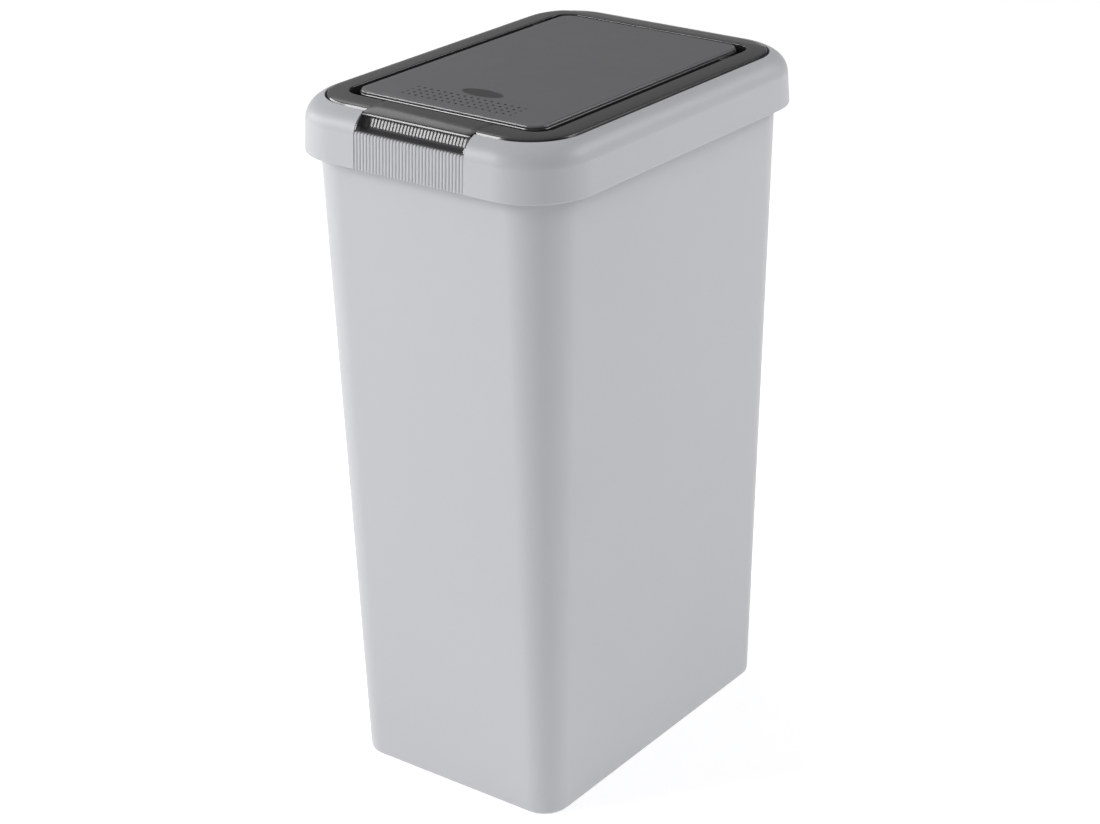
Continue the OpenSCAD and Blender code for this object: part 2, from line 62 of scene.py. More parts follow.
# --- Camera -------------------------------------------------------------------
# Stands to the right of the bin's front and looks down on it, as the photographer did.
# The photograph is a crop from a larger frame, hence the small shift.
az, el = np.radians(34.66), np.radians(24.19)
looked_at, camera_distance = np.array([0.07121, 0.05514, 0.29852]), 2.28016
back = np.array([np.sin(az) * np.cos(el), -np.cos(az) * np.cos(el), np.sin(el)])
right = np.array([np.cos(az), np.sin(az), 0.0])
camera_data = bpy.data.cameras.new("camera")
camera_data.sensor_width = 36.0
camera_data.lens = 80.26
camera_data.shift_x = -0.09696
camera_data.shift_y = 0.01016
camera_data.clip_end = 50.0
camera = bpy.data.objects.new("camera", camera_data)
camera_stand = np.eye(4)
camera_stand[:3, 0], camera_stand[:3, 1], camera_stand[:3, 2] = right, np.cross(back, right), back
camera_stand[:3, 3] = looked_at + camera_distance * back
camera.matrix_world = Matrix(camera_stand.tolist())
bpy.context.collection.objects.link(camera)
bpy.context.scene.camera = camera
bpy.context.scene.view_settings.view_transform = "Standard"


# --- Bucket -------------------------------------------------------------------
# One tall tapered moulding in light grey polypropylene, with its tool's fine spark-eroded grain.
# It stands on a low ring, its bottom edge is round, and a flanged rim under the collar
# stiffens its mouth.
rim_z, wall, flange = 616.0, 2.2, 3.0
foot_h, foot_in, floor_z = 2.2, 10.5, 5.0
base_x, base_y, base_corner = 112.5, 172.5, 26.0
grow_x, grow_y, grow_corner = 18.8, 14.2, 17.5
to_middle = 40


def eased(corners, closed=True, steps=6):
    """Profile whose corners (p, z, q) are rounded off over a length q along both edges.

    A corner P with neighbours in directions d and e becomes the curve
    (1-s)^2 (P + q d) + 2 s (1-s) P + s^2 (P + q e), with one more point just outside each end.
    """
    c = np.array(corners, float)
    p, q = c[:, :2], c[:, 2:3]
    d, e = np.roll(p, 1, 0) - p, np.roll(p, -1, 0) - p
    if not closed:
        d[0], e[-1] = e[0], d[-1]
    ld, le = np.linalg.norm(d, axis=1, keepdims=True), np.linalg.norm(e, axis=1, keepdims=True)
    d, e = d / ld, e / le
    s = np.linspace(0, 1, steps)[None, :, None]
    a, b = (p + q * d)[:, None], (p + q * e)[:, None]
    curve = (1 - s) ** 2 * a + 2 * s * (1 - s) * p[:, None] + s ** 2 * b
    out_d, out_e = np.minimum(1.7 * q, 0.5 * ld), np.minimum(1.7 * q, 0.5 * le)
    before, after = (p + out_d * d)[:, None], (p + out_e * e)[:, None]
    line = np.concatenate([before, curve, after], 1).reshape(-1, 2)
    return line[np.r_[True, np.linalg.norm(np.diff(line, axis=0), axis=1) > 1e-4]]


def places(gap=0.0, turns=28):
    """Places round a rectangle with round corners, from its front round by the right.

    Each is (kx, fx, ky, nx, ny): x = kx (a - r) + fx + nx r and y = ky (b - r) + ny r for
    half sizes a, b and corner radius r. With a gap, |x| < gap at the front is left out.
    A row runs along one side, by the shares of its half length in run. A corner is the
    quarter circle (cos, sin) of the angles in arc.
    """
    run = np.array([0.0, 0.03, 0.2, 0.4, 0.6, 0.8, 0.94, 0.985])
    side = np.r_[-run[:0:-1], run]
    row = lambda kx, fx, ky, nx, ny: np.stack(np.broadcast_arrays(kx, fx, ky, nx, ny), 1).astype(float)
    arc = lambda start: np.radians(start + np.linspace(0, 90, turns + 1))
    corner = lambda sx, sy, start: row(sx, 0, sy, np.cos(arc(start)), np.sin(arc(start)))
    rows = [row(run, gap * (1 - run), -1, 0, -1), corner(1, -1, -90), row(1, 0, side, 1, 0),
            corner(1, 1, 0), row(-side, 0, 1, 0, 1), corner(-1, 1, 90), row(-1, 0, -side, -1, 0),
            corner(-1, -1, 180), row(-run[::-1], -gap * (1 - run[::-1]), -1, 0, -1)]
    return np.concatenate(rows if gap else rows[:-1] + [rows[-1][:-1]])


def carried(a, b, r, z, where):
    """Grid of points, levels by places: x = kx (a - r) + fx + nx r, y = ky (b - r) + ny r, at height z.

    a, b, r and z hold each level's half sizes, corner radius (0.4 or more) and height.
    """
    a, b, r, z = (np.asarray(v, float)[:, None] for v in (a, b, r, z))
    kx, fx, ky, nx, ny = where.T[:, None]
    r = np.maximum(r, 0.4)
    return np.stack(np.broadcast_arrays(kx * (a - r) + fx + nx * r, ky * (b - r) + ny * r, z), 2)


def skin(grid, loop_rows, loop_columns, cap_rows=False, cap_columns=False):
    """Vertices and face tables of a grid of points: a quad between each four neighbours.

    Rows or columns may close on themselves. Where they don't, the first and last column
    may each be capped by one face, and the first and last row by triangles to its middle.
    """
    rows, columns = grid.shape[:2]
    index = np.arange(rows * columns).reshape(rows, columns)
    i = np.r_[index, index[:1]] if loop_rows else index
    i = np.c_[i, i[:, :1]] if loop_columns else i
    faces = [np.stack([i[:-1, :-1], i[:-1, 1:], i[1:, 1:], i[1:, :-1]], 2).reshape(-1, 4)]
    verts = grid.reshape(-1, 3)
    if cap_columns:
        faces += [index[None, :, 0], index[None, ::-1, -1]]
    if cap_rows:
        for ring, order in ((index[0], 1), (index[-1], -1)):
            faces.append(np.stack([np.full(len(ring), len(verts)), np.roll(ring, -order), ring], 1))
            verts = np.concatenate([verts, verts[ring].mean(0, keepdims=True)])
    return verts, faces


def piece(name, islands, body, material, stands_for=(), smooth=32):
    """One object, in metres, from several (vertices, face tables), riding on a body.

    Points that coincide are merged, slivers dissolved and faces turned outwards. It is
    shaded smooth but for edges that turn by more than smooth degrees.
    """
    verts, faces, start = [], [], 0
    for island, tables in islands:
        verts.append(np.asarray(island, float))
        for table in tables:
            faces += (table + start).tolist()
        start += len(island)
    mesh = bpy.data.meshes.new(name)
    mesh.from_pydata((np.concatenate(verts) * 0.001).tolist(), [], faces)
    work = bmesh.new()
    work.from_mesh(mesh)
    bmesh.ops.remove_doubles(work, verts=work.verts, dist=2e-7)
    bmesh.ops.dissolve_degenerate(work, edges=work.edges, dist=1e-7)
    bmesh.ops.recalc_face_normals(work, faces=work.faces)
    work.to_mesh(mesh)
    work.free()
    mesh.shade_smooth()
    mesh.set_sharp_from_angle(angle=np.radians(smooth))
    mesh.materials.append(material)
    obj = bpy.data.objects.new(name, mesh)
    bpy.context.collection.objects.link(obj)
    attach(obj, body)
    if stands_for:
        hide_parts(*stands_for)
    return obj


def effect(name, inputs, outputs):
    """A shader node group with float inputs (name: default) and named float outputs."""
    group = bpy.data.node_groups.new(name, "ShaderNodeTree")
    for label, value in inputs.items():
        socket = group.interface.new_socket(label, in_out="INPUT", socket_type="NodeSocketFloat")
        socket.default_value = value
    for label in outputs:
        group.interface.new_socket(label, in_out="OUTPUT", socket_type="NodeSocketFloat")
    return group, group.nodes.new("NodeGroupInput"), group.nodes.new("NodeGroupOutput")


def node(tree, kind, **values):
    """A node whose settings, and sockets by their names, are given as keywords."""
    made = tree.nodes.new(kind)
    for key, value in values.items():
        if hasattr(made, key):
            setattr(made, key, value)
        else:
            made.inputs[key].default_value = value
    return made


def maths(tree, operation, a, b):
    """The result of one Math node; a and b are sockets or numbers."""
    made = tree.nodes.new("ShaderNodeMath")
    made.operation = operation
    for slot, value in zip(made.inputs, (a, b)):
        if isinstance(value, (int, float)):
            slot.default_value = value
        else:
            tree.links.new(value, slot)
    return made.outputs[0]


def moulded_grain():
    """Height = fine noise at Scale + Coarse times noise three times coarser; Mottle = broad noise."""
    g, i, o = effect("moulded_grain", {"Scale": 1400.0, "Coarse": 0.5}, ["Height", "Mottle"])
    coords = g.nodes.new("ShaderNodeTexCoord").outputs["Object"]
    fine = node(g, "ShaderNodeTexNoise", Detail=2.0, Roughness=0.6)
    coarse = node(g, "ShaderNodeTexNoise", Detail=1.0, Roughness=0.5)
    broad = node(g, "ShaderNodeTexNoise", Scale=9.0, Detail=3.0, Roughness=0.55)
    for texture in (fine, coarse, broad):
        g.links.new(coords, texture.inputs["Vector"])
    g.links.new(i.outputs["Scale"], fine.inputs["Scale"])
    g.links.new(maths(g, "MULTIPLY", i.outputs["Scale"], 0.31), coarse.inputs["Scale"])
    share = maths(g, "MULTIPLY", coarse.outputs["Fac"], i.outputs["Coarse"])
    g.links.new(maths(g, "ADD", fine.outputs["Fac"], share), o.inputs["Height"])
    g.links.new(broad.outputs["Fac"], o.inputs["Mottle"])
    return g


def handling():
    """Wipe = Amount times a soft step in noise drawn out upwards: where a hand or a cloth has been."""
    g, i, o = effect("handling", {"Scale": 14.0, "Amount": 1.0}, ["Wipe"])
    coords = g.nodes.new("ShaderNodeTexCoord").outputs["Object"]
    stretch = node(g, "ShaderNodeMapping")
    stretch.inputs["Scale"].default_value = (1.0, 1.0, 0.35)
    blots = node(g, "ShaderNodeTexNoise", Detail=5.0, Roughness=0.62, Distortion=0.4)
    g.links.new(coords, stretch.inputs["Vector"])
    g.links.new(stretch.outputs["Vector"], blots.inputs["Vector"])
    g.links.new(i.outputs["Scale"], blots.inputs["Scale"])
    band = node(g, "ShaderNodeMapRange", interpolation_type="SMOOTHSTEP")
    band.inputs["From Min"].default_value = 0.45
    band.inputs["From Max"].default_value = 0.68
    g.links.new(blots.outputs["Fac"], band.inputs["Value"])
    g.links.new(maths(g, "MULTIPLY", band.outputs["Result"], i.outputs["Amount"]), o.inputs["Wipe"])
    return g


def rubbed_edge():
    """Mask = how far the surface's outward turn is from Start to Full, 0 to 1, times noise."""
    g, i, o = effect("rubbed_edge", {"Start": 0.52, "Full": 0.62}, ["Mask"])
    sharp = g.nodes.new("ShaderNodeNewGeometry").outputs["Pointiness"]
    coords = g.nodes.new("ShaderNodeTexCoord").outputs["Object"]
    breakup = node(g, "ShaderNodeTexNoise", Scale=120.0, Detail=3.0)
    g.links.new(coords, breakup.inputs["Vector"])
    ramp = node(g, "ShaderNodeMapRange")
    g.links.new(sharp, ramp.inputs["Value"])
    g.links.new(i.outputs["Start"], ramp.inputs["From Min"])
    g.links.new(i.outputs["Full"], ramp.inputs["From Max"])
    g.links.new(maths(g, "MULTIPLY", ramp.outputs["Result"], breakup.outputs["Fac"]), o.inputs["Mask"])
    return g


effects = {"grain": moulded_grain(), "wipe": handling(), "edge": rubbed_edge()}


def plastic(name, colour, rough, grain_depth, grain_scale, wear, wipe, mottle=0.05, skin_gloss=0.0):
    """Moulded plastic of a linear colour, handled a little, from the three effects.

    Its colour varies by +- mottle, and its rubbed edges are paler by the share wear.
    Roughness = rough - 0.08 wipe - 0.4 rough edge. The grain bumps it by grain_depth metres,
    and skin_gloss is the weight of a smoother outer skin.
    """
    material = bpy.data.materials.new(name)
    material.use_nodes = True
    tree = material.node_tree
    shader = tree.nodes["Principled BSDF"]
    shader.inputs["IOR"].default_value = 1.49
    shader.inputs["Coat Weight"].default_value = skin_gloss
    shader.inputs["Coat Roughness"].default_value = 0.12
    groups = {}
    for key, group in effects.items():
        groups[key] = tree.nodes.new("ShaderNodeGroup")
        groups[key].node_tree = group
    groups["grain"].inputs["Scale"].default_value = grain_scale
    groups["wipe"].inputs["Amount"].default_value = wipe
    base = np.array(colour)
    tint = node(tree, "ShaderNodeMix", data_type="RGBA")
    tint.inputs["A"].default_value = (*(base * (1 - mottle)), 1)
    tint.inputs["B"].default_value = (*np.minimum(base * (1 + mottle), 1), 1)
    tree.links.new(groups["grain"].outputs["Mottle"], tint.inputs["Factor"])
    worn = node(tree, "ShaderNodeMix", data_type="RGBA")
    worn.inputs["B"].default_value = (*np.minimum(base * 1.35 + 0.02, 1), 1)
    tree.links.new(tint.outputs["Result"], worn.inputs["A"])
    tree.links.new(maths(tree, "MULTIPLY", groups["edge"].outputs["Mask"], wear), worn.inputs["Factor"])
    tree.links.new(worn.outputs["Result"], shader.inputs["Base Color"])
    polish = maths(tree, "MULTIPLY", groups["wipe"].outputs["Wipe"], -0.08)
    gloss = maths(tree, "MULTIPLY", groups["edge"].outputs["Mask"], -0.4 * rough)
    tree.links.new(maths(tree, "ADD", maths(tree, "ADD", polish, gloss), rough), shader.inputs["Roughness"])
    bump = node(tree, "ShaderNodeBump", Strength=1.0)
    bump.inputs["Distance"].default_value = grain_depth
    tree.links.new(groups["grain"].outputs["Height"], bump.inputs["Height"])
    tree.links.new(bump.outputs["Normal"], shader.inputs["Normal"])
    return material


def bucket_levels(line):
    """Half sizes, corner radius and height at each (p, z): the outer wall's at height z, less p."""
    p, z = line.T
    t = z / rim_z
    return base_x + grow_x * t - p, base_y + grow_y * t - p, base_corner + grow_corner * t - p, z


# (inwards, height, rounding): over the foot ring, up the outside, over the rim and down the inside
wall_heights = np.linspace(40, 590, 12)
bucket_line = eased(
    [(to_middle, foot_h, 0), (foot_in + 1, foot_h, 1.2), (foot_in, 0, 0.8), (0, 0, 3.4)]
    + [(0, z, 0) for z in wall_heights]
    + [(0, rim_z - 3.4, 0.5), (0.1 - flange, rim_z - 2.9, 0.5), (-flange, rim_z, 0.9), (wall, rim_z, 0.8)]
    + [(wall, z, 0) for z in wall_heights[::-1]]
    + [(wall, floor_z, 5.0), (to_middle, floor_z - 0.2, 0)], closed=False)
bucket_shell = skin(carried(*bucket_levels(bucket_line), places()), False, True, cap_rows=True)
light_plastic = plastic("light_grey_plastic", (0.543, 0.549, 0.571), rough=0.43, grain_depth=0.00003,
                        grain_scale=1500, wear=0.12, wipe=0.6, mottle=0.012)
piece("bucket_moulding", [bucket_shell], "base", light_plastic, ["bucket"])


# --- Collar -------------------------------------------------------------------
# A loose ring, moulded in the bucket's light grey plastic, that hides the bag and carries the
# lid: a straight skirt, a crease, a round shoulder, and inside it a seat, a ledge and a wall
# that holds the bag's edge. It drops over the bucket's rim.
collar_x, skirt_z, crease_z, collar_top = 145, 591, 620, 637.7
crease_in, seat_in, shell = 2, 16.5, 2.2
seat_foot, ledge_z, bag_wall_in, bag_wall_t, bag_wall_z = 616.3, 628.5, 24.5, 1.8, 605.3
half_gap = 58.0


def collar_levels(line):
    """Half sizes, corner radius and height at each (p, z), p inwards from the skirt's lower edge.

    The half width is the collar's less p; the half depth and the corner follow p by table.
    """
    p, z = line.T
    steps = [-5, 0, crease_in, seat_in, bag_wall_in, 40]
    return (collar_x - p, np.interp(p, steps, [205.5, 200.5, 198.5, 182.8, 174.8, 159.3]),
            np.interp(p, steps, [64.5, 59.5, 57.5, 48, 40, 24.5]), z)


def shoulder(inset, count):
    """Points (p, z, 0) along the shoulder: the chord from crease to seat, bowed by 4 h t (1 - t)."""
    t = np.linspace(0, 1, count)[1:-1]
    across, rise, bow = seat_in - crease_in, 17.7, 3.3
    length = np.hypot(across, rise)
    h = 4 * bow * t * (1 - t) - inset
    return np.stack([crease_in + across * t - h * rise / length,
                     crease_z + rise * t + h * across / length, 0 * t], 1).tolist()


# (inwards, height, rounding): up the skirt and over the shoulder, down the seat, back inside
seat_back, ledge_out = seat_in - shell, seat_in - 0.3
collar_line = eased([(0, skirt_z, 0.8), (1, 605, 0), (crease_in, crease_z, 0.6), *shoulder(0, 16),
                     (seat_in, collar_top, 0.7), (seat_in, seat_foot, 0.4), (seat_back, seat_foot, 0.4),
                     (seat_back, 633.8, 0.9), *shoulder(shell, 10)[-3::-1],
                     (crease_in + shell, crease_z - 1, 0.5), (shell, skirt_z, 0.8)])
ledge_line = eased([(ledge_out, ledge_z, 0.3), (bag_wall_in, ledge_z, 1.0), (bag_wall_in, bag_wall_z, 0.6),
                    (bag_wall_in - bag_wall_t, bag_wall_z, 0.6),
                    (bag_wall_in - bag_wall_t, ledge_z - shell, 1.0), (ledge_out, ledge_z - shell, 0.3)])
open_front = places(half_gap)
collar_parts = [skin(carried(*collar_levels(collar_line), open_front), True, False, cap_columns=True),
                skin(carried(*collar_levels(ledge_line), open_front), True, False, cap_columns=True)]

# The front of the skirt below the grip: upright round ribs with narrow grooves between them
rib_count, panel_half, groove = 33, 57.7, 1.8
rib_pitch = 2 * panel_half / rib_count


def bar(x, sharp=3.6):
    """Round bar across one pitch: sqrt(1 - |2 s|^sharp), s being the place in it from -0.5 to 0.5."""
    s = np.mod(x / rib_pitch + rib_count / 2, 1) - 0.5
    return np.sqrt(np.clip(1 - np.abs(2 * s) ** sharp, 0, 1))


half_rib = np.array([0.1, 0.2, 0.31, 0.39, 0.44, 0.475, 0.499])
one_rib = np.r_[-half_rib[::-1], 0, half_rib]
panel_x = (((np.arange(rib_count) - (rib_count - 1) / 2)[:, None] + one_rib) * rib_pitch).ravel()
panel_line = eased([(0, skirt_z, 0.8), (0.7, 600, 0), (1.4, 611, 0), (2.15, 623.4, 3.2), (7.2, 623.2, 0.5),
                    (7.2, 619.5, 0.4), (4.2, 618.6, 0.8), (shell, skirt_z, 0.8)], steps=9)


def relief(line, where):
    """Unit normals of a closed profile, into the material, each times its entry in where."""
    along = np.roll(line, -1, 0) - np.roll(line, 1, 0)
    normal = np.stack([along[:, 1], -along[:, 0]], 1)
    return normal / np.linalg.norm(normal, axis=1, keepdims=True) * where[:, None]


# The grooves sink along the outer face's normals, and run out inwards at its top
ribs_end, ribs_run_out, outer_share = 6.6, 2.0, 0.62
panel_outer = (panel_line[:, 0] < ribs_end) & (np.arange(len(panel_line)) < len(panel_line) * outer_share)
panel_fade = np.where(panel_outer, np.clip((ribs_end - panel_line[:, 0]) / ribs_run_out, 0, 1), 0)
cut = groove * (1 - bar(panel_x))
shifted = panel_line[:, None] + relief(panel_line, panel_fade)[:, None] * cut[None, :, None]
depth = np.interp(shifted[..., 0], [0, crease_in, seat_in], [200.5, 198.5, 182.8])
panel_grid = np.stack([np.broadcast_to(panel_x, depth.shape), -depth, shifted[..., 1]], 2)
collar_parts.append(skin(panel_grid, True, False, cap_columns=True))


def slab(x0, x1, y0, y1, z0, z1, ease=0.35):
    """Upright plate with softened edges: a rounded rectangle carried from z0 to z1, less ease at both."""
    where = places(turns=3)
    half_x, half_y = (x1 - x0) / 2, (y1 - y0) / 2
    inset = np.array([ease, 0.1, 0, 0, 0.1, ease])
    z = np.array([z0, z0 + 0.4 * ease, z0 + ease, z1 - ease, z1 - 0.4 * ease, z1])
    grid = carried(half_x - inset, half_y - inset, np.full(6, ease), z, where)
    return skin(grid + [(x0 + x1) / 2, (y0 + y1) / 2, 0], False, True, cap_rows=True)


def rod(x0, x1, y, z, radius, ease=0.3, sides=28):
    """Round rod along x: circles (y + r cos, z + r sin) from x0 to x1, r less by ease at both ends."""
    angle = np.linspace(0, 2 * np.pi, sides, endpoint=False)
    x = np.array([x0, x0 + 0.3 * ease, x0 + ease, x1 - ease, x1 - 0.3 * ease, x1])[:, None]
    r = radius - np.array([ease, 0.3 * ease, 0, 0, 0.3 * ease, ease])[:, None]
    ring = np.stack(np.broadcast_arrays(x, y + r * np.cos(angle), z + r * np.sin(angle)), 2)
    return skin(ring, False, True, cap_rows=True)


# Webs under the shoulder, posts at the ends of the front notch, and two lugs for the lid's rods
web_foot, web_top, web_pitch, web_half = 616.4, 629.5, 58, 1
post_x, post_half = 59.2, 0.9
hinge_y, hinge_z, hinge_x, lug_half, lug_r = 177.8, 634.0, 56.0, 4, 2.5
for sx in (-1, 1):
    for k in range(-2, 3):
        x0, x1 = sorted((sx * 130.0, sx * 137.5))
        y = k * web_pitch
        collar_parts.append(slab(x0, x1, y - web_half, y + web_half, web_foot, web_top))
    x0, x1 = sx * post_x - post_half, sx * post_x + post_half
    collar_parts.append(slab(x0, x1, -193.5, -184.5, 616.5, 627.5))
    x0, x1 = sx * hinge_x - lug_half, sx * hinge_x + lug_half
    collar_parts.append(slab(x0, x1, hinge_y - lug_r, hinge_y + lug_r, 627.6, hinge_z))
    collar_parts.append(rod(x0, x1, hinge_y, hinge_z, lug_r))
for x in (-62, 0, 62):
    collar_parts.append(slab(x - web_half, x + web_half, 184.5, 191.5, web_foot, web_top))

# Across the notch the bag's wall goes on below the pocket, straight and lower
low_half, low_top, collar_front = 58.4, 618.8, 199.3
bag_wall = np.array([[bag_wall_in, bag_wall_z], [bag_wall_in, low_top],
                     [bag_wall_in - bag_wall_t, low_top], [bag_wall_in - bag_wall_t, bag_wall_z]])
bag_wall_grid = np.stack([np.broadcast_to([-low_half, low_half], (4, 2)),
                          np.repeat(bag_wall[:, :1] - collar_front, 2, 1),
                          np.repeat(bag_wall[:, 1:], 2, 1)], 2)
collar_parts.append(skin(bag_wall_grid, True, False, cap_columns=True))
piece("collar_moulding", collar_parts, "collar", light_plastic, ["collar"])


# --- Lid frame ----------------------------------------------------------------
# Anthracite polypropylene ring that drops into the collar's seat: a steep bright edge, a gently
# crowned band, and a short wall round the opening. Its back lies a little lower and carries
# the hinge's barrel, and a tongue at its front lifts it.
frame_x, frame_y, frame_corner = 127, 181.3, 46.5
band_x, band_y, band_corner = 20.5, 23.8, 28.5
frame_foot, opening_z, opening_foot, barrel_r = 628.9, 639.72, 627.0, 3.3
back_from, back_run, back_drop, back_foot = 163, 11, 0.5, 631.2
tongue_half = 57.3


def frame_levels(line):
    """Half sizes, corner radius and height at each (p, z), p inwards from the frame's outer edge.

    Depth and corner shrink by the band's share t = p / band_x, and past the band by p alone.
    """
    p, z = line.T
    t = np.clip(p / band_x, 0, 1)
    past = np.maximum(p - band_x, 0)
    return frame_x - p, frame_y - band_y * t - past, frame_corner - band_corner * t - past, z


# (inwards, height, rounding): up the edge, over the band, down into the opening, back below
frame_line = eased([(0, frame_foot, 0.4), (0, 636.6, 0.3), (0.9, 638.6, 0.35), (2.2, 638.98, 0.6),
                    (4.2, 639.24, 0.8), (7.5, 639.46, 0), (11.5, 639.6, 0), (16, 639.68, 0),
                    (band_x, opening_z, 1.2), (band_x, opening_foot, 0.5), (18.4, opening_foot, 0.5),
                    (18.4, 637.0, 1.0), (15, 637.1, 0), (8, 636.3, 0), (2.2, 635.3, 1.0),
                    (2.2, frame_foot, 0.4)])
frame_grid = carried(*frame_levels(frame_line), places(tongue_half - 0.2))

# The band's back falls by back_drop f^2 (3 - 2 f), and the edge's foot is higher at the barrel
falls = np.clip((frame_grid[..., 1] - back_from) / back_run, 0, 1)
frame_grid[..., 2] -= back_drop * falls ** 2 * (3 - 2 * falls) * (frame_grid[..., 2] > 636)
low_back = (frame_grid[..., 1] > hinge_y - 5) & (frame_grid[..., 2] < back_foot)
frame_grid[..., 2] = np.where(low_back, back_foot, frame_grid[..., 2])
frame_parts = [skin(frame_grid, True, False, cap_columns=True)]
for x0, x1 in ((-78.5, -60.7), (-51.3, 51.3), (60.7, 78.5)):
    frame_parts.append(rod(x0, x1, hinge_y, hinge_z, barrel_r))

# The tongue's top is level at the opening and bends down by 3.2 u^3.2 to a thin round lip
lip_y, lip_foot, opening_y, tongue_z = 187.9, 634.8, 157.5, 639.85
u = np.linspace(0, 1, 26)[1:-1]
tongue_top = np.stack([-(opening_y + u * (lip_y - opening_y)), tongue_z - 3.2 * u ** 3.2, 0 * u], 1)
tongue_line = eased([(-opening_y, tongue_z, 1.0), *tongue_top.tolist(), (-lip_y + 0.9, 636.9, 0.4),
                     (-lip_y, 635.4, 0.4), (-lip_y + 0.3, lip_foot, 0.3), (-176.3, lip_foot, 1.2),
                     (-165, 636.6, 0), (-160, 636.8, 0.8), (-160, opening_foot, 0.4),
                     (-opening_y, opening_foot, 0.4)])

# Its profile runs along x and shrinks by a quarter circle over the last bit of each end
tongue_ease = 0.5
end_x = tongue_ease * (1 - np.cos(np.linspace(0, 1, 6) * np.pi / 2))
tongue_x = np.r_[end_x - tongue_half, np.linspace(-50, 50, 9), tongue_half - end_x[::-1]]
end_share = (np.abs(tongue_x) - (tongue_half - tongue_ease)).clip(0) / tongue_ease
shrink = tongue_ease * (1 - np.sqrt(np.clip(1 - end_share ** 2, 0, 1)))
inward = relief(tongue_line, np.ones(len(tongue_line)))
tongue_side = tongue_line[:, None] - inward[:, None] * shrink[None, :, None]
tongue_across = np.broadcast_to(tongue_x[None, :, None], tongue_side.shape[:2] + (1,))
tongue_grid = np.concatenate([tongue_across, tongue_side], 2)
frame_parts.append(skin(tongue_grid, True, False, cap_columns=True))

# Bearings for the flap's two axles, and the rest that the flap comes up against
flap_y, flap_z, bearing_r = 126.25, 632.0, 4.4
for sx in (-1, 1):
    x0, x1 = sorted((sx * 106.8, sx * 110.5))
    frame_parts.append(rod(x0, x1, flap_y, flap_z, bearing_r))
frame_parts.append(slab(-60, 60, 143.5, 158.2, 625.9, 627.9))
dark_plastic = plastic("anthracite_plastic", (0.024, 0.024, 0.025), rough=0.25, grain_depth=0.000012,
                       grain_scale=1500, wear=0.12, wipe=0.5, skin_gloss=0.35)
piece("lid_frame_moulding", frame_parts, "lid", dark_plastic, ["lid_frame"])


# --- Finger pocket ------------------------------------------------------------
# Dark plastic scoop clipped under the tongue, so that fingers get hold of the lip. Its back
# leans away and has the skirt's ribs again; its two cheeks follow the collar's shoulder.
lean = np.radians(28)
hollow_r, hollow_y, hollow_z, pocket_top = 7.0, -190.7, 630.6, 634.5
pocket_wall, pocket_lip_y, cheek_x, cheek_out, fillet = 2.0, -196.4, 56.7, 57.5, 5.0
ribbed_half, rib_height, rib_sharp = 50.2, 0.85, 7

# Its face in profile (y, z): a flat lip, a quarter of a circle less the lean, a straight slope
bend = np.linspace(0, np.pi / 2 - lean, 12)
hollow = np.stack([hollow_y + hollow_r * np.sin(bend), hollow_z - hollow_r * np.cos(bend)], 1)
top_back = hollow[-1] + (pocket_top - hollow[-1, 1]) * np.array([np.tan(lean), 1])
slope = hollow[-1] + np.linspace(0, 1, 8)[1:, None] * (top_back - hollow[-1])
front = np.array([[pocket_lip_y, 623.9], [-195.5, 623.75], [-193.5, 623.65]])
face_line = np.concatenate([front, hollow, slope])
along_face = np.gradient(face_line, axis=0)
face_normal = np.stack([-along_face[:, 1], along_face[:, 0]], 1)
face_normal /= np.linalg.norm(along_face, axis=1, keepdims=True)
back_line = (face_line - face_normal * pocket_wall)[::-1]
back_line[:, 1] = np.minimum(back_line[:, 1], pocket_top - 0.2)

# Along x that face stands out by a quarter-circle fillet at each cheek and by the ribs between
inner_ribs = np.abs(panel_x) < ribbed_half
fillet_x = fillet * (1 - np.cos(np.linspace(0, 1, 9)[:-1] * np.pi / 2))
pocket_x = np.r_[fillet_x - cheek_x, panel_x[inner_ribs], cheek_x - fillet_x[::-1]]
fillet_share = (np.abs(pocket_x) - (cheek_x - fillet)).clip(0) / fillet
lift = fillet * (1 - np.sqrt(np.clip(1 - fillet_share ** 2, 0, 1)))
lift_in = np.clip((face_line[:, :1] + 196.6) / 3, 0, 1)
ribs_in = np.clip((face_line[:, 1:] - 624.3) / 2.6, 0, 1) * (face_line[:, :1] > -190)
rib_out = np.where(np.abs(pocket_x) < ribbed_half, rib_height * (bar(pocket_x, rib_sharp) - 0.1), 0)
inner = face_line[:, None] + face_normal[:, None] * (lift * lift_in + ribs_in * rib_out)[..., None]
inner[..., 1] = np.minimum(inner[..., 1], pocket_top)
outer = np.broadcast_to(back_line[:, None], (len(back_line), len(pocket_x), 2))
scoop = np.concatenate([inner, outer])
scoop_across = np.broadcast_to(pocket_x[None, :, None], scoop.shape[:2] + (1,))
pocket_parts = [skin(np.concatenate([scoop_across, scoop], 2), True, False, cap_columns=True)]

# A cheek is a thin plate of this outline (y, z, rounding)
cheek = eased([(pocket_lip_y, 623.2, 0.3), (-197.2, 624.2, 0.4), (-195.8, 627.0, 0), (-193.2, 630.8, 0),
               (-190.7, 633.3, 0.4), (-189.2, pocket_top, 0.3), (-178.2, pocket_top, 0.3),
               (-184.4, 624.6, 0), (-189.5, 621.7, 0)])
for sx in (-1, 1):
    x = np.array(sorted((sx * (cheek_x - 0.1), sx * cheek_out)))
    cheek_grid = np.concatenate([np.broadcast_to(x[None, :, None], (len(cheek), 2, 1)),
                                 np.broadcast_to(cheek[:, None], (len(cheek), 2, 2))], 2)
    pocket_parts.append(skin(cheek_grid, True, False, cap_columns=True))
# The frame's anthracite plastic, its colour painted about three times paler as painted light on the shaded
# scoop
pocket_plastic_painted_paler = plastic("pocket_plastic_painted_paler", (0.075, 0.075, 0.078), rough=0.34, grain_depth=0.000012,
                         grain_scale=1500, wear=0.12, wipe=0.3, skin_gloss=0.4)
piece("finger_pocket", pocket_parts, "lid", pocket_plastic_painted_paler, ["grip_pocket"])


